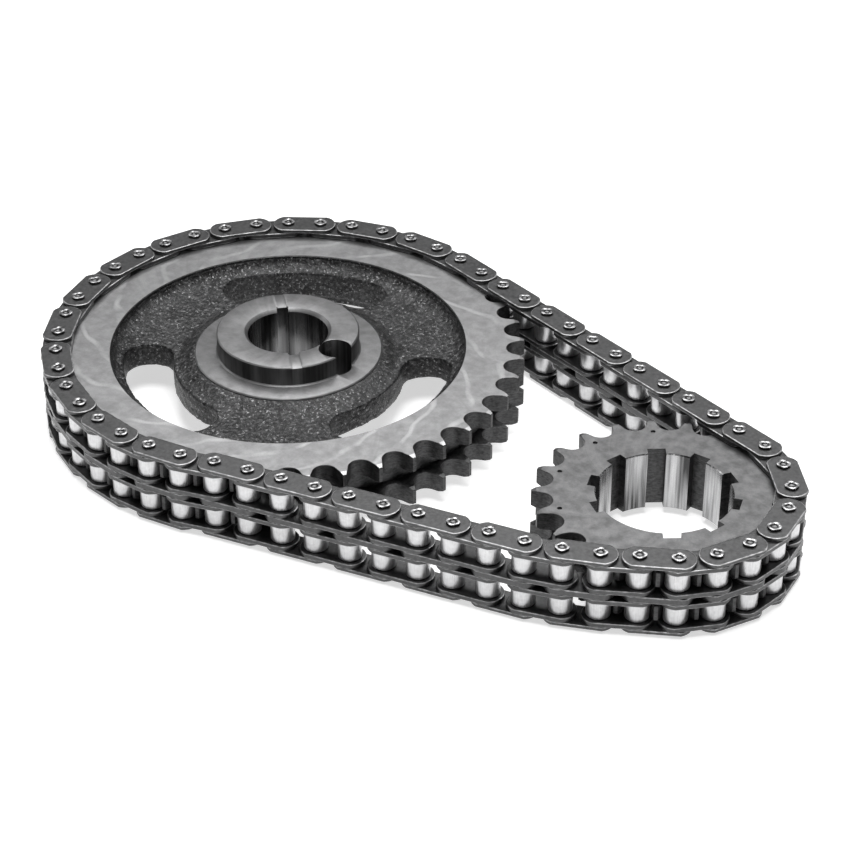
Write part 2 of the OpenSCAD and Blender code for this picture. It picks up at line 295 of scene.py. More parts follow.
def roller():
    half, edge, bore_edge = ROLLER_LENGTH / 2, 0.4, 0.2
    low = [(ROLLER_BORE_R, -half + bore_edge), (ROLLER_BORE_R + bore_edge, -half)]
    for turn in (90, 60, 30, 0):
        back, rise = edge * (1 - polar(1, turn))
        low.append((ROLLER_R - back, -half + rise))
    high = [(r, -z) for r, z in reversed(low)]
    # The rounded ends take the roller's dark worn_and_lit grey: painted shade on the ends.
    wear_and_light = [0, 0.2, 0.6, 0.9, 0.7, 0.2]
    return lathe(low + high, 40, wear_and_light + wear_and_light[::-1])


def bushing(inner_r):
    half, edge = LINK_HALF_WIDTH, 0.12
    low = [(inner_r, -half + edge), (inner_r + edge, -half)]
    low += [(BUSHING_R - edge, -half), (BUSHING_R, -half + edge)]
    high = [(r, -z) for r, z in reversed(low)]
    return lathe(low + high, 28)


def pin():
    """A pin whose ends are staked over in four lobes round a dimple."""
    neck = OUTER_PLATE_Z + OUTER_PLATE_T
    rise = PIN_HALF - neck
    steps = 40
    # (radius, height, depth of the lobes, wear_and_light: wear with a painted highlight on the staked
    # crown), from the plate up over the rim and into the dimple
    rings = [
        (PIN_R, neck - 0.3, 0.0, 0.0),
        (PIN_R - 0.05, neck + rise * 0.15, 0.0, 0.0),
        (PIN_R + 0.04, neck + rise * 0.4, 0.03, 0.3),
        (PIN_R + 0.2, neck + rise * 0.74, 0.07, 1.0),
        (PIN_R + 0.14, neck + rise * 0.92, 0.08, 1.0),
        (PIN_R - 0.12, neck + rise, 0.09, 1.0),
        (1.12, neck + rise * 0.97, 0.12, 1.0),
        (0.88, neck + rise * 0.8, 0.1, 0.5),
        (0.7, neck + rise * 0.4, 0.03, 0.0),
        (0.25, neck + rise * 0.22, 0.0, 0.0),
    ]
    rings = [(r, -z, lobe, wear_and_light) for r, z, lobe, wear_and_light in reversed(rings)] + rings
    points, worn_and_lit = [], []
    for r, z, lobe, wear_and_light in rings:
        for k in range(steps):
            a = k * 2 * math.pi / steps
            swell = lobe * (math.cos(4 * a) - 0.35)
            points.append(((r + swell) * math.cos(a), (r + swell) * math.sin(a), z))
            worn_and_lit.append(wear_and_light * (0.75 + 0.25 * math.cos(4 * a)))
    faces = []
    for a in range(len(rings) - 1):
        for k in range(steps):
            n = (k + 1) % steps
            faces.append((a * steps + k, a * steps + n, (a + 1) * steps + n, (a + 1) * steps + k))
    last = (len(rings) - 1) * steps
    faces.append(tuple(reversed(range(steps))))
    faces.append(tuple(last + k for k in range(steps)))
    return Shape(points, faces, worn_and_lit)


# ---- Meshes ----


def shaded(mesh, sharp):
    mesh.shade_smooth()
    mesh.set_sharp_from_angle(angle=math.radians(sharp))


def added(name, mesh, sharp):
    """An object in the scene with this mesh, smooth but for edges over the given angle."""
    shaded(mesh, sharp)
    piece = bpy.data.objects.new(name, mesh)
    bpy.context.scene.collection.objects.link(piece)
    return piece


def write_mesh(name, shape, sharp=30):
    """An object made from a shape, with doubled points merged and every face looking outwards."""
    mesh = bpy.data.meshes.new(name)
    mesh.from_pydata((shape.points * MM).tolist(), [], shape.faces)
    clean = bmesh.new()
    clean.from_mesh(mesh)
    bmesh.ops.remove_doubles(clean, verts=clean.verts, dist=1e-6)
    bmesh.ops.dissolve_degenerate(clean, edges=clean.edges, dist=1e-7)
    bmesh.ops.recalc_face_normals(clean, faces=clean.faces)
    clean.to_mesh(mesh)
    clean.free()
    return added(name, mesh, sharp)


def set_attribute(mesh, name, kind, values):
    layer = mesh.attributes.new(name, kind, "POINT")
    key = "vector" if kind == "FLOAT_VECTOR" else "value"
    layer.data.foreach_set(key, np.asarray(values, np.float32).ravel())


def scatter(name, copies, sharp=30):
    """One mesh from many (template, pin, heading, seed): each point keeps its template's place and its
    wear_and_light value, which is wear and painted light.
    """
    points, local, wear_and_light, tone, faces, base = [], [], [], [], [], 0
    for shape, origin, heading, seed in copies:
        c, s = math.cos(heading), math.sin(heading)
        turn = np.array([[c, s, 0], [-s, c, 0], [0, 0, 1]])
        points.append(shape.points @ turn + np.array([origin[0], origin[1], 0]))
        local.append(shape.points)
        wear_and_light.append(shape.wear_and_light)
        tone.append(np.full(len(shape.points), seed))
        faces += [tuple(base + k for k in face) for face in shape.faces]
        base += len(shape.points)
    mesh = bpy.data.meshes.new(name)
    mesh.from_pydata((np.vstack(points) * MM).tolist(), [], faces)
    set_attribute(mesh, "place", "FLOAT_VECTOR", np.vstack(local))
    set_attribute(mesh, "wear_and_light", "FLOAT", np.concatenate(wear_and_light))
    set_attribute(mesh, "tone", "FLOAT", np.concatenate(tone))
    return added(name, mesh, sharp)


def welded(shape):
    """The shape with the points that fall on each other made one."""
    keys, index, kept = {}, [], []
    for k, point in enumerate(np.round(shape.points, 5).tolist()):
        key = tuple(point)
        if key not in keys:
            keys[key] = len(kept)
            kept.append(k)
        index.append(keys[key])
    faces = []
    for face in shape.faces:
        ring = list(dict.fromkeys(index[k] for k in face))
        if len(ring) > 2:
            faces.append(tuple(ring))
    return Shape(shape.points[kept], faces, shape.wear_and_light[kept])


# ---- Toothed rings ----

BEVEL_Z = 0.45
BEVEL_R = 1.3
TOOTH_SHARP = 16


def gap_outline(teeth, pitch_r, tip_r):
    """Points (x, y) and outward normals down one flank, round the seat and up the other, gap on +X."""
    flank_r = 0.12 * 2 * ROLLER_R * (teeth + 2)
    side, normals = [], []
    x, y = -SEAT_R * math.cos(math.radians(FLANK_START)), SEAT_R * math.sin(math.radians(FLANK_START))
    heading, step = 90 - FLANK_START, 0.05
    trail = []
    while math.hypot(pitch_r + x, y) < tip_r:
        trail.append((pitch_r + x, y, heading))
        x += step * math.cos(math.radians(heading))
        y += step * math.sin(math.radians(heading))
        heading += math.degrees(step / flank_r)
    trail.append((pitch_r + x, y, heading))
    keep = np.linspace(0, len(trail) - 1, 7).round().astype(int)
    for k in keep:
        side.append(trail[k][:2])
        normals.append(polar(1, trail[k][2] - 90))
    arc = [180 - FLANK_START + k * 2 * FLANK_START / 14 for k in range(1, 14)]
    seat = [(pitch_r + SEAT_R * math.cos(math.radians(a)), SEAT_R * math.sin(math.radians(a))) for a in arc]
    inward = [-polar(1, a) for a in arc]
    down = list(zip(side[::-1], normals[::-1]))
    around = list(zip(seat, inward))
    up = [((p[0], -p[1]), n * np.array([1, -1])) for p, n in zip(side, normals)]
    return [(np.array(p), np.array(n)) for p, n in down + around + up]


def sprocket_outline(teeth, pitch_r, tip_r, seat_angle):
    """Clockwise outline of a whole toothed disc as (point, outward normal)."""
    gap = gap_outline(teeth, pitch_r, tip_r)
    first = math.degrees(math.atan2(gap[0][0][1], gap[0][0][0]))
    land = 360 / teeth - 2 * first
    out = []
    for k in range(teeth):
        turn = math.radians(seat_angle - k * 360 / teeth)
        c, s = math.cos(turn), math.sin(turn)
        spin = np.array([[c, s], [-s, c]])
        out += [(p @ spin, n @ spin) for p, n in gap]
        for share in (0.33, 0.67):
            ray = polar(1, seat_angle - k * 360 / teeth - first - land * share)
            out.append((ray * tip_r, ray))
    return out


def row_loops(outline, tip_r, face, sign, edge=0.12):
    """Loops of one row's side from its flat face to its tooth wall. Sign is the way the face looks."""
    crease = tip_r - BEVEL_R

    def drop(radius):
        return BEVEL_Z * max(0.0, radius - crease) / BEVEL_R

    flat, rim, wall = [], [], []
    for point, normal in outline:
        radius = np.linalg.norm(point)
        inset = point - normal * edge
        z = face - sign * drop(radius)
        flat.append((*(point / radius * min(crease, radius - 0.4)), face))
        rim.append((*inset, face - sign * drop(np.linalg.norm(inset))))
        wall.append((*point, z - sign * edge))
    return [flat, rim, wall]


def ring_loop(outline, radius, z):
    return [(*(point / np.linalg.norm(point) * radius), z) for point, _ in outline]


def toothed_ring(name, outline, tip_r, groove_r, inner_loops):
    """Two rows of teeth over a groove, closed by the given loops through the bore, back to front."""
    loops = row_loops(outline, tip_r, FACE_Z, 1)
    loops += row_loops(outline, tip_r, GROOVE_Z, -1)[::-1]
    loops += [ring_loop(outline, groove_r, GROOVE_Z), ring_loop(outline, groove_r, -GROOVE_Z)]
    loops += row_loops(outline, tip_r, -GROOVE_Z, 1)
    loops += row_loops(outline, tip_r, -FACE_Z, -1)[::-1]
    loops += [ring_loop(outline, r, z) for r, z in inner_loops]
    shape = Shape(np.array(loops).reshape(-1, 3), tube_faces(len(loops), len(outline)))
    return write_mesh(name, shape, TOOTH_SHARP)


# ---- Cutting and roughening ----


def box_cutter(width, length, low, high, angle, start=0.0):
    """A bar across the axis for a keyway or a slot, from start to start + length along its angle."""
    along, across = polar(1, angle), polar(1, angle + 90)
    points = []
    for z in (low, high):
        for a, b in ((0, -1), (1, -1), (1, 1), (0, 1)):
            x, y = along * (start + a * length) + across * b * width / 2
            points.append((x, y, z))
    faces = [(3, 2, 1, 0), (4, 5, 6, 7), (0, 1, 5, 4), (1, 2, 6, 5), (2, 3, 7, 6), (3, 0, 4, 7)]
    return Shape(points, faces)


def prism_faces(count):
    """The faces of a prism whose points are the lower outline and then the upper one."""
    faces = [tuple(reversed(range(count))), tuple(range(count, 2 * count))]
    faces += [(k, (k + 1) % count, count + (k + 1) % count, count + k) for k in range(count)]
    return faces


def prism(outline, low, high):
    points = [(x, y, z) for z in (low, high) for x, y in outline]
    return Shape(points, prism_faces(len(outline)))


def round_cutter(x, y, radius, low, high, steps=48, taper=0.0):
    """A drill shape, smaller by its taper at the lower end."""
    points = []
    for z, r in ((low, radius - taper), (high, radius)):
        for k in range(steps):
            a = k * 2 * math.pi / steps
            points.append((x + r * math.cos(a), y + r * math.sin(a), z))
    return Shape(points, prism_faces(steps))


def applied(piece):
    """The piece with its modifiers made part of its mesh."""
    graph = bpy.context.evaluated_depsgraph_get()
    mesh = bpy.data.meshes.new_from_object(piece.evaluated_get(graph))
    old = piece.data
    piece.modifiers.clear()
    piece.data = mesh
    bpy.data.meshes.remove(old)
    return piece


def cut(piece, cutters):
    """The piece with each cutter's shape taken out of it."""
    tools = []
    for number, cutter in enumerate(cutters):
        tool = write_mesh(f"cutter_{number}", cutter)
        tools.append(tool)
        step = piece.modifiers.new(f"cut_{number}", "BOOLEAN")
        step.operation = "DIFFERENCE"
        step.solver = "EXACT"
        step.object = tool
    applied(piece)
    for tool in tools:
        bpy.data.objects.remove(tool)
    return piece


def eased(piece, width, sharp=30):
    """Rounds the piece's sharp edges, as machining and handling do."""
    step = piece.modifiers.new("ease", "BEVEL")
    step.width = width * MM
    step.segments = 2
    step.limit_method = "ANGLE"
    step.angle_limit = math.radians(40)
    step.use_clamp_overlap = True
    applied(piece)
    shaded(piece.data, sharp)
    return piece


def roughened(piece, amount, size):
    """Moves the points along their normals by a noise of about that size, as a sand mould leaves iron."""
    mesh = piece.data
    for vertex, normal in zip(mesh.vertices, [v.normal.copy() for v in mesh.vertices]):
        where = vertex.co / (size * MM)
        shift = noise.noise(where) + 0.5 * noise.noise(where * 2.3) + 0.3 * noise.noise(where * 5.1)
        vertex.co += normal * shift * amount * MM
    return piece


def painted(piece, rule):
    """Gives each face the material slot number that the rule picks from its centre and normal."""
    for face in piece.data.polygons:
        face.material_index = rule(face.center / MM, face.normal)
    return piece


# ---- Camshaft sprocket ----

WINDOW_INNER_R = 32
WINDOW_OUTER_R = 45.6
WINDOW_HALF_ANGLE = 35
WINDOW_ANGLE = 121
WINDOW_CORNER = 6
KEY_LINE_ANGLE = 136
KEY_LINE_W = 2.6
KEY_LINE_DEPTH = 0.35
CAM_KEY_W = 3.2
CAM_KEY_R = CAM_BORE_R + 1.5
DOWEL_R = 4.5
DOWEL_OFFSET = 16.4


def arc_points(centre, radius, start, end, steps):
    return [centre + polar(radius, start + (end - start) * k / steps) for k in range(steps + 1)]


def window_outline(angle):
    """A ring sector with round corners, centred on the given direction."""
    corner, half = WINDOW_CORNER, WINDOW_HALF_ANGLE
    inner_r, outer_r = WINDOW_INNER_R + corner, WINDOW_OUTER_R - corner
    inner_end = half - math.degrees(math.asin(corner / inner_r))
    outer_end = half - math.degrees(math.asin(corner / outer_r))
    side = arc_points(np.zeros(2), WINDOW_INNER_R, 0, inner_end - 2, 10)
    side += arc_points(polar(inner_r, inner_end), corner, inner_end + 180, half + 90, 6)
    side += arc_points(polar(outer_r, outer_end), corner, half + 90, outer_end, 10)
    side += arc_points(np.zeros(2), WINDOW_OUTER_R, outer_end - 2, 0, 10)
    loop = side + [p * np.array([1, -1]) for p in side[-2:0:-1]]
    c, s = math.cos(math.radians(angle)), math.sin(math.radians(angle))
    return [(p[0] * c - p[1] * s, p[0] * s + p[1] * c) for p in loop]


def cam_rim():
    outline = sprocket_outline(CAM_TEETH, CAM_R, CAM_TIP_R, CAM_SEAT_ANGLE)
    edge = 0.25
    inner = [
        (RIM_INNER_R + edge, -FACE_Z),
        (RIM_INNER_R, -FACE_Z + edge),
        (RIM_INNER_R, FACE_Z - edge),
        (RIM_INNER_R + edge, FACE_Z),
    ]
    piece = toothed_ring("cam_rim", outline, CAM_TIP_R, CAM_R - PLATE_CLEAR, inner)

    def rule(centre, normal):
        radius = math.hypot(centre.x, centre.y)
        if radius < RIM_INNER_R + 0.1:
            return 1
        if abs(normal.z) > 0.9 and abs(centre.z) > GROOVE_Z + 1:
            return 0
        return 2

    return painted(piece, rule)


def cam_web():
    """The cast web between the hub and the rim: turned, cut by its windows, then roughened."""
    inner_r, outer_r = FLANGE_R - 1.5, RIM_INNER_R + 0.8
    shoulder, shoulder_top, fillet, fillet_h, steps = 6.0, 5.9, 6.0, 3.6, 8
    foot, rise = [], []
    for k in range(steps + 1):
        fall = (1 + math.cos(math.pi * k / steps)) / 2
        foot_r = FLANGE_R - 0.5 + shoulder * k / steps
        foot.append((foot_r, WEB_HALF + (shoulder_top - WEB_HALF) * fall))
        turn = math.pi / 2 * k / steps
        rise_r = RIM_INNER_R - fillet * (1 - math.sin(turn))
        rise.append((rise_r, WEB_HALF + fillet_h * (1 - math.cos(turn))))
    top = [(inner_r, shoulder_top)] + foot + rise + [(outer_r, WEB_HALF + fillet_h)]
    bottom = [(r, -z) for r, z in reversed(top)]
    piece = write_mesh("cam_web", lathe(bottom + top, 144))
    reach = 2 * WEB_HALF + 2
    cut(piece, [prism(window_outline(WINDOW_ANGLE + 120 * k), -reach, reach) for k in range(3)])
    remesh = piece.modifiers.new("remesh", "REMESH")
    remesh.mode = "VOXEL"
    remesh.voxel_size = 0.42 * MM
    smooth = piece.modifiers.new("smooth", "SMOOTH")
    smooth.factor = 0.5
    smooth.iterations = 6
    applied(piece)
    roughened(piece, amount=0.16, size=2.2)
    piece.data.shade_smooth()
    return piece


def cam_hub():
    profile = [
        (CAM_BORE_R, HUB_BACK + 0.4),
        (CAM_BORE_R + 0.4, HUB_BACK),
        (FLANGE_R - 0.5, HUB_BACK),
        (FLANGE_R, HUB_BACK + 0.5),
        (FLANGE_R, FLANGE_TOP - 0.35),
        (FLANGE_R - 0.35, FLANGE_TOP),
        (HUB_R + 0.4, FLANGE_TOP),
        (HUB_R, FLANGE_TOP + 0.4),
        (HUB_R, HUB_TOP - 0.35),
        (HUB_R - 0.35, HUB_TOP),
        (CAM_BORE_R + 0.9, HUB_TOP),
        (CAM_BORE_R, HUB_TOP - 0.9),
    ]
    piece = write_mesh("cam_hub", lathe(profile, 144))
    back, front = HUB_BACK - 2, HUB_TOP + 2
    cutters = [
        box_cutter(CAM_KEY_W, 2 * CAM_KEY_R, back, front, KEY_LINE_ANGLE, -CAM_KEY_R),
        box_cutter(KEY_LINE_W, 2 * HUB_R + 2, HUB_TOP - KEY_LINE_DEPTH, front, KEY_LINE_ANGLE, -HUB_R - 1),
        round_cutter(DOWEL_OFFSET, 0, DOWEL_R, back, front, 64),
    ]
    cut(piece, cutters)
    eased(piece, 0.12)

    def rule(centre, normal):
        radius = math.hypot(centre.x, centre.y)
        if radius < CAM_BORE_R + 2:
            return 1 if abs(normal.z) < 0.5 else 0
        if abs(normal.z) > 0.5:
            return 0
        return 2

    return painted(piece, rule)


# ---- Crankshaft sprocket ----

KEY_STEPS = 10
PLAIN_STEP = 6
CRANK_KEY_W = 4.76
CRANK_KEY_R = 19.7
FIRST_TOOTH = CRANK_SEAT_ANGLE + 3.5 * 360 / CRANK_TEETH
DOT_TEETH = (0, 2, 4, 6, 15)
DOT_CIRCLE_R = 27.8
DOT_R = 0.85
DOT_DEPTH = 0.6


def crank_sprocket():
    outline = sprocket_outline(CRANK_TEETH, CRANK_R, CRANK_TIP_R, CRANK_SEAT_ANGLE)
    edge = 0.3
    inner = [
        (CRANK_BOSS_R, -FACE_Z),
        (CRANK_BOSS_R, CRANK_BOSS_BACK + 0.4),
        (CRANK_BOSS_R - 0.4, CRANK_BOSS_BACK),
        (CRANK_BORE_R + edge, CRANK_BOSS_BACK),
        (CRANK_BORE_R, CRANK_BOSS_BACK + edge),
        (CRANK_BORE_R, FACE_Z - edge),
        (CRANK_BORE_R + edge, FACE_Z),
    ]
    piece = toothed_ring("crank_ring", outline, CRANK_TIP_R, CRANK_R - PLATE_CLEAR, inner)
    keys, key_start, reach = [], CRANK_BORE_R - 5, 14
    for step in range(KEY_STEPS):
        if step != PLAIN_STEP:
            angle = FIRST_TOOTH - step * 360 / KEY_STEPS
            keys.append(box_cutter(CRANK_KEY_W, CRANK_KEY_R - key_start, -reach, reach, angle, key_start))
    dots = []
    for tooth in DOT_TEETH:
        x, y = polar(DOT_CIRCLE_R, FIRST_TOOTH + tooth * 360 / CRANK_TEETH)
        dots.append(round_cutter(x, y, DOT_R, FACE_Z - DOT_DEPTH, FACE_Z + 1, 20, taper=0.3))
    cut(piece, [joined(keys), joined(dots)])
    for vertex in piece.data.vertices:
        vertex.co.x += CENTRES * MM
    shaded(piece.data, TOOTH_SHARP)

    def rule(centre, normal):
        radius = math.hypot(centre.x - CENTRES, centre.y)
        if abs(normal.z) > 0.9 and abs(centre.z) > GROOVE_Z + 1:
            return 0
        # The keyway walls lie outside the bore's radius and take the dark tooth finish: painted shade in the
        # keyways.
        return 1 if radius < CRANK_BORE_R + 0.4 else 2

    return painted(piece, rule)


# ---- The chain's pieces ----


def placed(template, link, part_seed):
    start, end = pin_at(link), pin_at(link + 1)
    heading = math.atan2(end[1] - start[1], end[0] - start[0])
    seed = (link * 0.61803 + part_seed * 0.377) % 1.0
    return (template, start, heading, seed)


def plate_templates():
    outer = welded(plate(OUTER_END_R, PIN_R, OUTER_PLATE_T, 0.22))
    middle = welded(plate(OUTER_END_R, PIN_R, MIDDLE_PLATE_T, 0.22))
    inner = welded(plate(INNER_END_R, BUSHING_R, INNER_PLATE_T, 0.2))
    inner_heights = []
    for row in (-ROW_Z, ROW_Z):
        inner_heights += [row + INNER_WIDTH / 2, row - LINK_HALF_WIDTH]
    return {
        "outer_plates": [outer.moved(z=z) for z in (OUTER_PLATE_Z, -OUTER_PLATE_Z - OUTER_PLATE_T)],
        "middle_plates": [middle.moved(z=-MIDDLE_PLATE_T / 2)],
        "inner_plates": [inner.moved(z=z) for z in inner_heights],
    }


def round_templates():
    rows = (-ROW_Z, ROW_Z)
    close, open_pivot = bushing(PIN_R + PIN_GAP), bushing(PIN_R + OPEN_PIVOT_GAP)
    return {
        "pins": [pin()],
        "bushings": [close.moved(z=z) for z in rows],
        "open_bushings": [open_pivot.moved(z=z) for z in rows],
        "rollers": [roller().moved(z=z) for z in rows],
    }


TEMPLATES = {**plate_templates(), **round_templates()}


def link_pieces(link, kind, ends=(0, 1)):
    """The pieces of one kind on one link. Round pieces stand at the given ends of it."""
    if kind.endswith("plates"):
        return [placed(shape, link, n) for n, shape in enumerate(TEMPLATES[kind])]
    pieces = []
    for end in ends:
        wide = kind == "bushings" and (link + end) in OPEN_BUSHINGS
        for n, shape in enumerate(TEMPLATES["open_bushings" if wide else kind]):
            pieces.append(placed(shape.moved(x=end * PITCH), link, 3 * end + n))
    return pieces


FINISH_OF = {
    "outer_plates": "outer_plate_steel",
    "middle_plates": "outer_plate_steel",
    "inner_plates": "inner_plate_steel",
    "pins": "pin_steel",
    "bushings": "bushing_steel",
    "rollers": "roller_steel",
}


def add_chain_piece(node, body, parts, finish):
    """One piece that stands for a CAD node, from a list of (link, kind, ends)."""
    everything = []
    for link, kind, ends in parts:
        everything += link_pieces(link, kind, ends)
    piece = scatter(f"{node}_piece", everything)
    piece.data.materials.append(MATERIALS[finish])
    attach(piece, body)
    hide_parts(node)


def add_wrap(side, links):
    for kind, finish in FINISH_OF.items():
        outer_kind = kind in ("outer_plates", "middle_plates", "pins")
        parts = [(link, kind, (0, 1)) for link in links if is_outer(link) == outer_kind]
        add_chain_piece(f"{side}_wrap_{kind}", "seated_chain", parts, finish)


def add_free_side(side, links, cam_end):
    """cam_end is 0 where pin numbers rise away from the camshaft, and 1 where they fall."""
    for number, link in enumerate(links, 1):
        name = f"{side}_link_{number}"
        if is_outer(link):
            plates = [(link, "outer_plates", None), (link, "middle_plates", None)]
            add_chain_piece(f"{name}_plates", name, plates, "outer_plate_steel")
            add_chain_piece(f"{name}_pins", name, [(link, "pins", (0, 1))], "pin_steel")
            continue
        add_chain_piece(f"{name}_plates", name, [(link, "inner_plates", None)], "inner_plate_steel")
        add_chain_piece(f"{name}_bushings", name, [(link, "bushings", (0, 1))], "bushing_steel")
        for place, end in (("cam_end", cam_end), ("crank_end", 1 - cam_end)):
            node = f"{name}_{place}_rollers"
            add_chain_piece(node, node, [(link, "rollers", (end,))], "roller_steel")


# ---- Materials ----


class Graph:
    """A material under construction: short ways to add nodes to it."""

    def __init__(self, name):
        self.material = bpy.data.materials.new(name)
        self.material.use_nodes = True
        self.tree = self.material.node_tree
        self.shader = self.tree.nodes["Principled BSDF"]

    def add(self, kind, inputs=None, **settings):
        node = self.tree.nodes.new(kind)
        for key, value in settings.items():
            setattr(node, key, value)
        for key, value in (inputs or {}).items():
            self.put(node.inputs[key], value)
        return node

    def put(self, socket, value):
        if isinstance(value, bpy.types.NodeSocket):
            self.tree.links.new(value, socket)
        else:
            socket.default_value = value

    def math(self, operation, first, second=0.0):
        return self.add("ShaderNodeMath", {0: first, 1: second}, operation=operation).outputs[0]

    def vector(self, operation, first, second=None, scale=None):
        inputs = {0: first}
        if second is not None:
            inputs[1] = second
        if scale is not None:
            inputs["Scale"] = scale
        return self.add("ShaderNodeVectorMath", inputs, operation=operation).outputs[0]

    def attribute(self, name, output="Fac"):
        return self.add("ShaderNodeAttribute", attribute_name=name).outputs[output]

    def noise(self, where, scale, detail=3.0, rough=0.5, distortion=0.0):
        inputs = {"Vector": where, "Scale": scale, "Detail": detail, "Roughness": rough}
        inputs["Distortion"] = distortion
        return self.add("ShaderNodeTexNoise", inputs).outputs["Fac"]

    def spread(self, value, low, high, to_low=0.0, to_high=1.0):
        names = {"Value": value, "From Min": low, "From Max": high, "To Min": to_low, "To Max": to_high}
        return self.add("ShaderNodeMapRange", names).outputs["Result"]

    def mix(self, share, first, second):
        node = self.add("ShaderNodeMix", data_type="RGBA")
        self.put(node.inputs[0], share)
        self.put(node.inputs[6], first)
        self.put(node.inputs[7], second)
        return node.outputs[2]

    def bump(self, height, strength, distance):
        inputs = {"Height": height, "Strength": strength, "Distance": distance * MM}
        self.put(self.shader.inputs["Normal"], self.add("ShaderNodeBump", inputs).outputs["Normal"])

    def base(self, colour, rough, metallic):
        self.put(self.shader.inputs["Base Color"], colour)
        self.put(self.shader.inputs["Roughness"], rough)
        self.put(self.shader.inputs["Metallic"], metallic)

    def object_place(self, centre_x=0.0):
        """Object coordinates in millimetres, counted from an axis at the given X."""
        raw = self.add("ShaderNodeTexCoord").outputs["Object"]
        scaled = self.vector("SCALE", raw, scale=1 / MM)
        return self.vector("SUBTRACT", scaled, (centre_x, 0.0, 0.0))


def grey(value):
    return (value, value, value * 1.01, 1.0)


def chain_steel(name, dark, light, worn_and_lit, rough, grain):
    """Steel of a chain piece: mottled, streaked along its grain, and given its worn_and_lit grey where the
    wear_and_light marks lie: wear with a painted highlight on plate edges and pin crowns, painted shade on
    the roller ends.
    """
    g = Graph(name)
    tone = g.attribute("tone")
    shift = g.vector("SCALE", (37.0, 91.0, 53.0), scale=tone)
    place = g.vector("ADD", g.attribute("place", "Vector"), shift)
    mottle = g.noise(place, 0.9, 4.0, 0.6)
    streaks = g.noise(g.vector("MULTIPLY", place, grain), 1.0, 5.0, 0.65)
    blend = g.math("ADD", g.math("MULTIPLY", mottle, 0.45), g.math("MULTIPLY", streaks, 0.55))
    steel = g.mix(g.spread(blend, 0.36, 0.64), grey(dark), grey(light))
    varied = g.mix(g.math("MULTIPLY", tone, 0.25), steel, grey(light))
    # The edge marks, broken up by noise: wear with painted highlights on plates and pins, painted shade on
    # the roller ends.
    rub_and_light = g.math("ADD", g.attribute("wear_and_light"), g.spread(g.noise(place, 0.7), 0.3, 0.7, -0.35, 0.15))
    edge = g.spread(rub_and_light, 0.35, 1.05)
    colour = g.mix(edge, varied, grey(worn_and_lit))
    g.base(colour, g.spread(streaks, 0.3, 0.7, rough - 0.07, rough + 0.1), 0.9)
    g.bump(streaks, 0.25, 0.03)
    return g.material


def turned_steel(name, centre_x, dark, light, rough, swirl, sweeps):
    """A machined face: fine rings round the axis, under pale arcs that the cutter swept across it."""
    g = Graph(name)
    place = g.object_place(centre_x)
    flat = g.vector("MULTIPLY", place, (1.0, 1.0, 0.0))
    radius = g.add("ShaderNodeVectorMath", {0: flat}, operation="LENGTH").outputs["Value"]
    turn = g.add("ShaderNodeVectorRotate", {"Vector": flat, "Angle": g.math("MULTIPLY", radius, swirl)})
    turn.rotation_type = "Z_AXIS"
    ray = g.vector("NORMALIZE", turn.outputs[0])
    sweep = g.noise(g.vector("SCALE", ray, scale=4.5), 1.0, 2.5, 0.55, 0.3)
    streak = g.noise(g.vector("SCALE", ray, scale=26.0), 1.0, 3.0, 0.6)
    along = g.add("ShaderNodeCombineXYZ", {0: radius}).outputs[0]
    lathe_lines = g.noise(g.vector("SCALE", along, scale=6.0), 1.0, 4.0, 0.7)
    mottle = g.noise(place, 0.35, 5.0, 0.62)
    fine = g.noise(place, 3.0, 3.0, 0.6)
    base = g.mix(g.spread(mottle, 0.35, 0.65), grey(dark), grey(light))
    swept = g.mix(g.spread(sweep, 0.5, 0.68, 0.0, 0.4), base, grey(light * 1.3))
    if sweeps:
        swept = g.mix(cutter_arcs(g, flat, radius, sweeps), swept, grey(light * 1.5))
    lined = g.mix(g.spread(streak, 0.55, 0.75, 0.0, 0.3), swept, grey(dark * 0.8))
    colour = g.mix(g.spread(fine, 0.45, 0.7, 0.0, 0.35), lined, grey(dark))
    g.base(colour, g.spread(lathe_lines, 0.3, 0.7, rough - 0.06, rough + 0.1), 0.9)
    g.bump(lathe_lines, 0.2, 0.03)
    return g.material


def cutter_arcs(g, flat, radius, count):
    """How much each point lies on one of the pale arcs that lean across a turned face."""
    parts = g.add("ShaderNodeSeparateXYZ", {0: flat})
    angle = g.math("ARCTAN2", parts.outputs[1], parts.outputs[0])
    wander = g.spread(g.noise(flat, 0.05, 2.0), 0.3, 0.7, -1.5, 1.5)
    lean = g.math("ADD", g.math("MULTIPLY", radius, 0.55), wander)
    wave = g.math("SINE", g.math("ADD", g.math("MULTIPLY", angle, float(count)), lean))
    fade = g.spread(g.noise(flat, 0.11, 3.0), 0.36, 0.6, 0.0, 0.8)
    return g.math("MULTIPLY", g.spread(wave, 0.8, 1.0), fade)


def bore_steel(name, centre_x, dark, light, rough):
    """A bored or broached wall: fine streaks along the axis, under broad bright bands along it that are
    painted reflections.
    """
    g = Graph(name)
    place = g.object_place(centre_x)
    streak = g.noise(g.vector("MULTIPLY", place, (1.6, 1.6, 0.04)), 1.0, 3.0, 0.5)
    # Broad bright bands along the axis: painted reflections of the lights.
    painted_reflection_bands = g.noise(g.vector("MULTIPLY", place, (0.25, 0.25, 0.03)), 1.0, 2.0)
    share = g.math("ADD", g.math("MULTIPLY", streak, 0.25), g.math("MULTIPLY", painted_reflection_bands, 0.75))
    colour = g.mix(g.spread(share, 0.38, 0.62), grey(dark), grey(light))
    g.base(colour, g.spread(streak, 0.3, 0.7, rough - 0.05, rough + 0.1), 0.9)
    g.bump(streak, 0.2, 0.03)
    return g.material


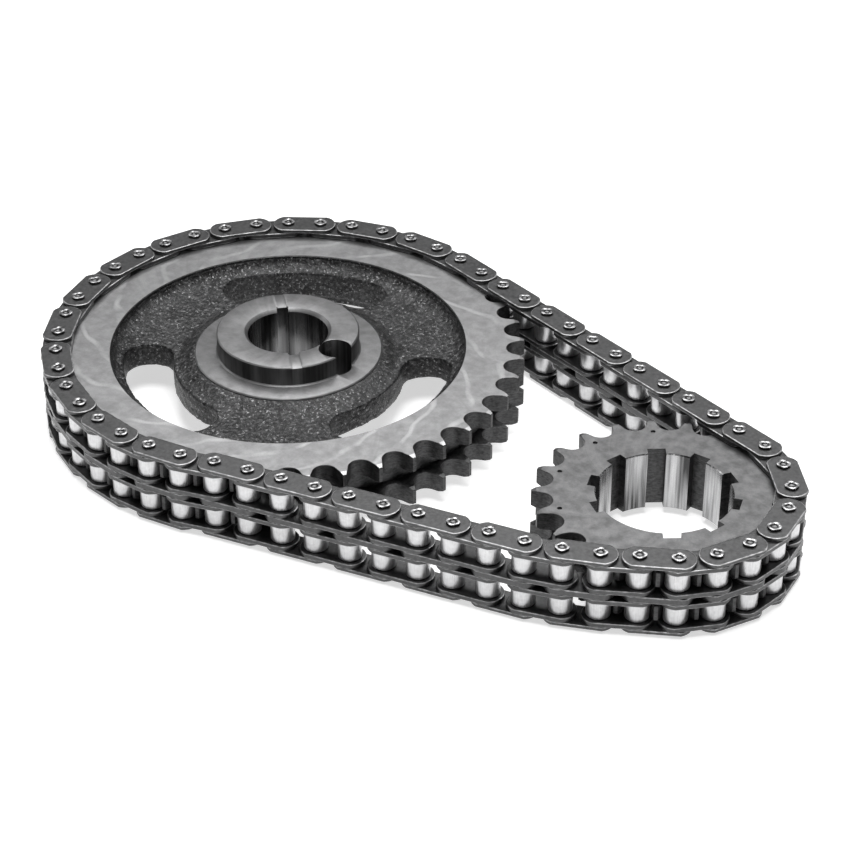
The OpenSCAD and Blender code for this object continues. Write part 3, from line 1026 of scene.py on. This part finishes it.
def tooth_steel(name, centre_x, dark, light):
    """The milled walls of the teeth and the groove: darker, with cutter marks across."""
    g = Graph(name)
    place = g.object_place(centre_x)
    marks = g.noise(g.vector("MULTIPLY", place, (0.7, 0.7, 3.0)), 1.0, 4.0, 0.65)
    mottle = g.noise(place, 0.8, 5.0, 0.65)
    share = g.math("ADD", g.math("MULTIPLY", marks, 0.5), g.math("MULTIPLY", mottle, 0.5))
    colour = g.mix(g.spread(share, 0.38, 0.62), grey(dark), grey(light))
    g.base(colour, g.spread(mottle, 0.3, 0.7, 0.38, 0.55), 0.85)
    g.bump(marks, 0.3, 0.05)
    return g.material


def cast_iron(name):
    """Sand-cast iron: dark and grainy, with small bright specks painted on as glints."""
    g = Graph(name)
    place = g.object_place()
    grain = g.noise(place, 0.9, 5.0, 0.7)
    patch = g.noise(place, 0.12, 4.0, 0.6)
    painted_glints = g.noise(place, 1.3, 3.0, 0.6)
    skin = g.mix(g.spread(patch, 0.35, 0.65), grey(0.02), grey(0.045))
    grained = g.mix(g.spread(grain, 0.48, 0.66), skin, grey(0.11))
    # Small bright specks: painted glints.
    colour = g.mix(g.spread(painted_glints, 0.6, 0.68, 0.0, 0.7), grained, grey(0.42))
    g.base(colour, g.spread(grain, 0.3, 0.7, 0.26, 0.46), 0.8)
    g.bump(grain, 1.0, 0.5)
    return g.material


MATERIALS = {
    "outer_plate_steel": chain_steel("outer_plate_steel", 0.06, 0.11, 0.45, 0.42, (1.2, 1.2, 1.2)),
    "inner_plate_steel": chain_steel("inner_plate_steel", 0.06, 0.10, 0.42, 0.36, (1.0, 1.0, 1.0)),
    "pin_steel": chain_steel("pin_steel", 0.07, 0.14, 0.6, 0.32, (1.5, 1.5, 1.5)),
    "bushing_steel": chain_steel("bushing_steel", 0.10, 0.2, 0.4, 0.36, (3.0, 3.0, 0.2)),
    # The roller's worn_and_lit grey, 0.12, darkens its rounded ends as painted shade.
    "roller_steel": chain_steel("roller_steel", 0.45, 0.66, 0.12, 0.32, (3.0, 3.0, 0.14)),
    "rim_face": turned_steel("rim_face", 0.0, 0.24, 0.34, 0.40, 0.012, 16),
    "hub_face": turned_steel("hub_face", 0.0, 0.17, 0.24, 0.42, 0.02, 0),
    "crank_face": turned_steel("crank_face", CENTRES, 0.11, 0.19, 0.44, 0.03, 0),
    # The cam bore's near-black grey is painted shade inside the hole, and its pale bands are painted
    # reflections.
    "cam_bore": bore_steel("cam_bore", 0.0, 0.02, 0.2, 0.2),
    "crank_bore": bore_steel("crank_bore", CENTRES, 0.05, 0.6, 0.2),
    "cam_teeth": tooth_steel("cam_teeth", 0.0, 0.03, 0.10),
    "crank_teeth": tooth_steel("crank_teeth", CENTRES, 0.03, 0.11),
    "hub_wall": bore_steel("hub_wall", 0.0, 0.06, 0.2, 0.36),
    "cast_iron": cast_iron("cast_iron"),
}


def add_sprocket_piece(piece, body, finishes):
    for finish in finishes:
        piece.data.materials.append(MATERIALS[finish])
    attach(piece, body)
    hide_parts(body)


add_wrap("cam", CAM_STATIC)
add_wrap("crank", CRANK_STATIC)
add_free_side("taut", TAUT_FREE, 0)
add_free_side("slack", SLACK_FREE, 1)
add_sprocket_piece(cam_rim(), "cam_sprocket", ["rim_face", "cast_iron", "cam_teeth"])
add_sprocket_piece(cam_web(), "cam_sprocket", ["cast_iron"])
add_sprocket_piece(cam_hub(), "cam_sprocket", ["hub_face", "cam_bore", "hub_wall"])
add_sprocket_piece(
    crank_sprocket(), "crank_sprocket", ["crank_face", "crank_bore", "crank_teeth"]
)


# ---- Studio ----


def add_floor():
    g = Graph("floor_paper")
    g.put(g.shader.inputs["Base Color"], (0.6, 0.6, 0.6, 1.0))
    g.put(g.shader.inputs["Roughness"], 0.9)
    g.put(g.shader.inputs["Emission Color"], (1.0, 1.0, 1.0, 1.0))
    g.put(g.shader.inputs["Emission Strength"], 0.6)
    reach, level = 2500, -PIN_HALF - 0.02
    corners = [(x * reach, y * reach, level) for x, y in ((-1, -1), (1, -1), (1, 1), (-1, 1))]
    floor = write_mesh("floor", Shape(corners, [(0, 1, 2, 3)]))
    floor.data.materials.append(g.material)


def add_light(name, place, target, width, height, power):
    lamp = bpy.data.lights.new(name, "AREA")
    lamp.shape = "RECTANGLE"
    lamp.size, lamp.size_y, lamp.energy = width, height, power
    holder = bpy.data.objects.new(name, lamp)
    bpy.context.scene.collection.objects.link(holder)
    holder.location = place
    holder.rotation_euler = (Vector(place) - Vector(target)).to_track_quat("Z", "Y").to_euler()


def add_world(strength):
    world = bpy.data.worlds.new("studio")
    world.use_nodes = True
    world.node_tree.nodes["Background"].inputs[0].default_value = (1.0, 1.0, 1.0, 1.0)
    world.node_tree.nodes["Background"].inputs[1].default_value = strength
    bpy.context.scene.world = world
    bpy.context.scene.view_settings.view_transform = "Standard"


def add_camera():
    """The photo's view: about 34 degrees down and 36 degrees round from the front."""
    azimuth, elevation = math.radians(35.9), math.radians(33.6)
    back = Vector(
        (
            math.sin(azimuth) * math.cos(elevation),
            -math.cos(azimuth) * math.cos(elevation),
            math.sin(elevation),
        )
    )
    camera = bpy.data.objects.new("camera", bpy.data.cameras.new("camera"))
    bpy.context.scene.collection.objects.link(camera)
    target = Vector((57.5, -14.9, PIN_HALF)) * MM
    camera.location = target + back * 0.6726
    camera.rotation_euler = back.to_track_quat("Z", "Y").to_euler()
    camera.data.sensor_width = 36
    camera.data.lens = 109
    camera.data.clip_start = 0.01
    bpy.context.scene.camera = camera


MIDDLE = (CENTRES / 2 * MM, 0.0, 0.0)
add_floor()
add_world(0.13)
add_light("overhead", (-0.1, 0.42, 0.88), MIDDLE, 0.9, 0.6, 9)
add_light("key", (0.12, -0.12, 0.95), MIDDLE, 0.4, 0.4, 7)
add_light("left", (-0.75, -0.15, 0.45), MIDDLE, 0.25, 0.8, 1.2)
add_light("front", (0.55, -0.85, 0.3), MIDDLE, 0.25, 0.5, 0.7)
add_camera()
